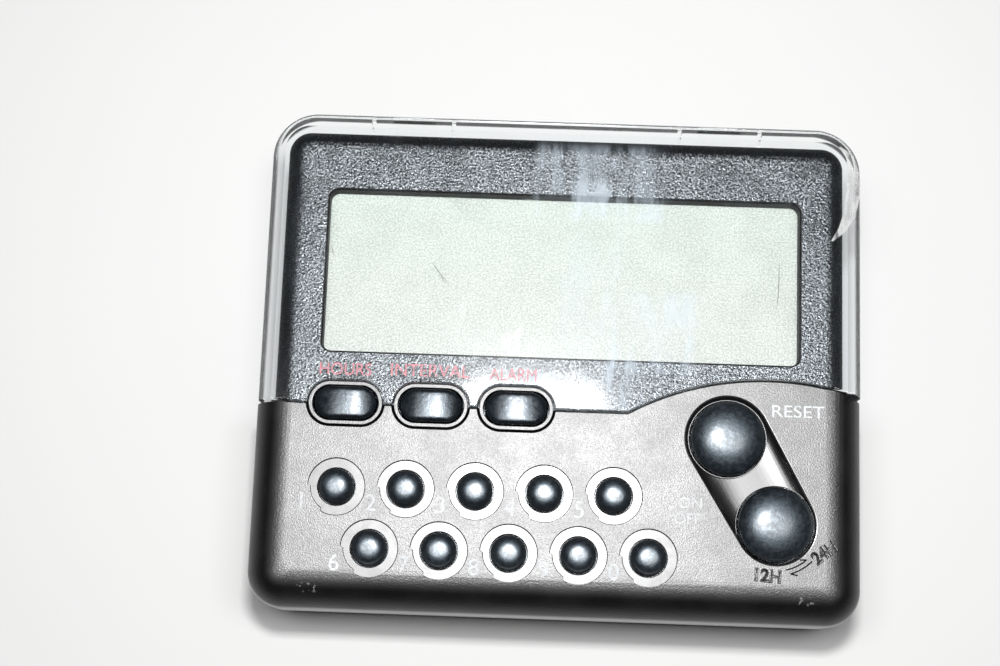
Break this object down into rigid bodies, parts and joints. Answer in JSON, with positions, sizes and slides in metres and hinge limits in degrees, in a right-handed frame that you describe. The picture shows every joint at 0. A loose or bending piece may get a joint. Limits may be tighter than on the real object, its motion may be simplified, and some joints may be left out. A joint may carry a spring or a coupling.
{
  "type": "digital laboratory timer",
  "caption": "Flat rectangular digital timer with a clear cover over a wide display, oval mode keys, domed number keys, two round keys, a folding stand and a battery door.",
  "frame": {"origin": "under the middle of the back, on the surface that the timer lies on", "axes": "+X to the right of the display, +Y towards the top of the display, +Z out of the front"},
  "size_m": [0.086, 0.071, 0.0222],
  "materials": {
    "front_plastic": "fine-textured satin black moulding",
    "back_plastic": "textured black moulding",
    "clear_plastic": "clear polished moulding, lightly scratched",
    "key_plastic": "polished black",
    "board": "green resist on glass-fibre board",
    "keypad_rubber": "silicone rubber",
    "display_film": "grey-green polarising film",
    "display_glass": "display glass",
    "reflector_foil": "frosted foil",
    "holder_plastic": "natural moulding",
    "strip_rubber": "layered conductive rubber",
    "resin": "black potting resin",
    "bright_steel": "bright plated",
    "capacitor_sleeve": "dark sleeve over an aluminium can",
    "brass": "plain sheet",
    "ceramic": "silvered ceramic",
    "cell_sleeve": null
  },
  "bodies": {
    "timer_body": {"front_case": "front_plastic", "back_case": "back_plastic", "clear_cover": "clear_plastic", "main_board": "board", "keypad_mat": "keypad_rubber", "lcd_front_polariser": "display_film", "lcd_front_glass": "display_glass", "lcd_rear_glass": "display_glass", "lcd_reflector": "reflector_foil", "lcd_holder": "holder_plastic", "zebra_strip": "strip_rubber", "driver_chip": "resin", "quartz_crystal": "bright_steel", "capacitor": "capacitor_sleeve", "sounder_plate": "brass", "sounder_ceramic": "ceramic", "sounder_spring_1": "bright_steel", "sounder_spring_2": "bright_steel", "battery_cell": "cell_sleeve", "battery_spring": "bright_steel", "battery_contact": "bright_steel", "case_screw_1": "bright_steel", "board_screw_1": "bright_steel", "case_screw_2": "bright_steel", "board_screw_2": "bright_steel", "case_screw_3": "bright_steel", "board_screw_3": "bright_steel", "case_screw_4": "bright_steel", "board_screw_4": "bright_steel"},
    "mode_key_1": {"mode_key_1": "key_plastic"},
    "mode_key_2": {"mode_key_2": "key_plastic"},
    "mode_key_3": {"mode_key_3": "key_plastic"},
    "digit_key_1": {"digit_key_1": "key_plastic"},
    "digit_key_2": {"digit_key_2": "key_plastic"},
    "digit_key_3": {"digit_key_3": "key_plastic"},
    "digit_key_4": {"digit_key_4": "key_plastic"},
    "digit_key_5": {"digit_key_5": "key_plastic"},
    "digit_key_6": {"digit_key_6": "key_plastic"},
    "digit_key_7": {"digit_key_7": "key_plastic"},
    "digit_key_8": {"digit_key_8": "key_plastic"},
    "digit_key_9": {"digit_key_9": "key_plastic"},
    "digit_key_0": {"digit_key_0": "key_plastic"},
    "clear_key": {"clear_key": "key_plastic"},
    "start_key": {"start_key": "key_plastic"},
    "stand": {"stand": "back_plastic"},
    "battery_door": {"battery_door": "back_plastic"}
  },
  "joints": [
    {"name": "mode_key_1_press", "type": "slide", "parent": "timer_body", "child": "mode_key_1", "axis": [0, 0, -1], "range_m": [0, 0.0008], "stiffness_N_per_m": 750, "deforming": ["keypad_mat"]},
    {"name": "mode_key_2_press", "type": "slide", "parent": "timer_body", "child": "mode_key_2", "axis": [0, 0, -1], "range_m": [0, 0.0008], "stiffness_N_per_m": 750, "deforming": ["keypad_mat"]},
    {"name": "mode_key_3_press", "type": "slide", "parent": "timer_body", "child": "mode_key_3", "axis": [0, 0, -1], "range_m": [0, 0.0008], "stiffness_N_per_m": 750, "deforming": ["keypad_mat"]},
    {"name": "digit_key_1_press", "type": "slide", "parent": "timer_body", "child": "digit_key_1", "axis": [0, 0, -1], "range_m": [0, 0.0008], "stiffness_N_per_m": 750, "deforming": ["keypad_mat"]},
    {"name": "digit_key_2_press", "type": "slide", "parent": "timer_body", "child": "digit_key_2", "axis": [0, 0, -1], "range_m": [0, 0.0008], "stiffness_N_per_m": 750, "deforming": ["keypad_mat"]},
    {"name": "digit_key_3_press", "type": "slide", "parent": "timer_body", "child": "digit_key_3", "axis": [0, 0, -1], "range_m": [0, 0.0008], "stiffness_N_per_m": 750, "deforming": ["keypad_mat"]},
    {"name": "digit_key_4_press", "type": "slide", "parent": "timer_body", "child": "digit_key_4", "axis": [0, 0, -1], "range_m": [0, 0.0008], "stiffness_N_per_m": 750, "deforming": ["keypad_mat"]},
    {"name": "digit_key_5_press", "type": "slide", "parent": "timer_body", "child": "digit_key_5", "axis": [0, 0, -1], "range_m": [0, 0.0008], "stiffness_N_per_m": 750, "deforming": ["keypad_mat"]},
    {"name": "digit_key_6_press", "type": "slide", "parent": "timer_body", "child": "digit_key_6", "axis": [0, 0, -1], "range_m": [0, 0.0008], "stiffness_N_per_m": 750, "deforming": ["keypad_mat"]},
    {"name": "digit_key_7_press", "type": "slide", "parent": "timer_body", "child": "digit_key_7", "axis": [0, 0, -1], "range_m": [0, 0.0008], "stiffness_N_per_m": 750, "deforming": ["keypad_mat"]},
    {"name": "digit_key_8_press", "type": "slide", "parent": "timer_body", "child": "digit_key_8", "axis": [0, 0, -1], "range_m": [0, 0.0008], "stiffness_N_per_m": 750, "deforming": ["keypad_mat"]},
    {"name": "digit_key_9_press", "type": "slide", "parent": "timer_body", "child": "digit_key_9", "axis": [0, 0, -1], "range_m": [0, 0.0008], "stiffness_N_per_m": 750, "deforming": ["keypad_mat"]},
    {"name": "digit_key_0_press", "type": "slide", "parent": "timer_body", "child": "digit_key_0", "axis": [0, 0, -1], "range_m": [0, 0.0008], "stiffness_N_per_m": 750, "deforming": ["keypad_mat"]},
    {"name": "clear_key_press", "type": "slide", "parent": "timer_body", "child": "clear_key", "axis": [0, 0, -1], "range_m": [0, 0.001], "stiffness_N_per_m": 900, "deforming": ["keypad_mat"]},
    {"name": "start_key_press", "type": "slide", "parent": "timer_body", "child": "start_key", "axis": [0, 0, -1], "range_m": [0, 0.001], "stiffness_N_per_m": 900, "deforming": ["keypad_mat"]},
    {"name": "stand_fold", "type": "hinge", "parent": "timer_body", "child": "stand", "pos_m": [0, 0.01421, 0.00135], "axis": [1, 0, 0], "range_deg": [0, 65]},
    {"name": "battery_door_open", "type": "hinge", "parent": "timer_body", "child": "battery_door", "pos_m": [0, 0.02181, 0.0008], "axis": [-1, 0, 0], "range_deg": [0, 80]}
  ]
}
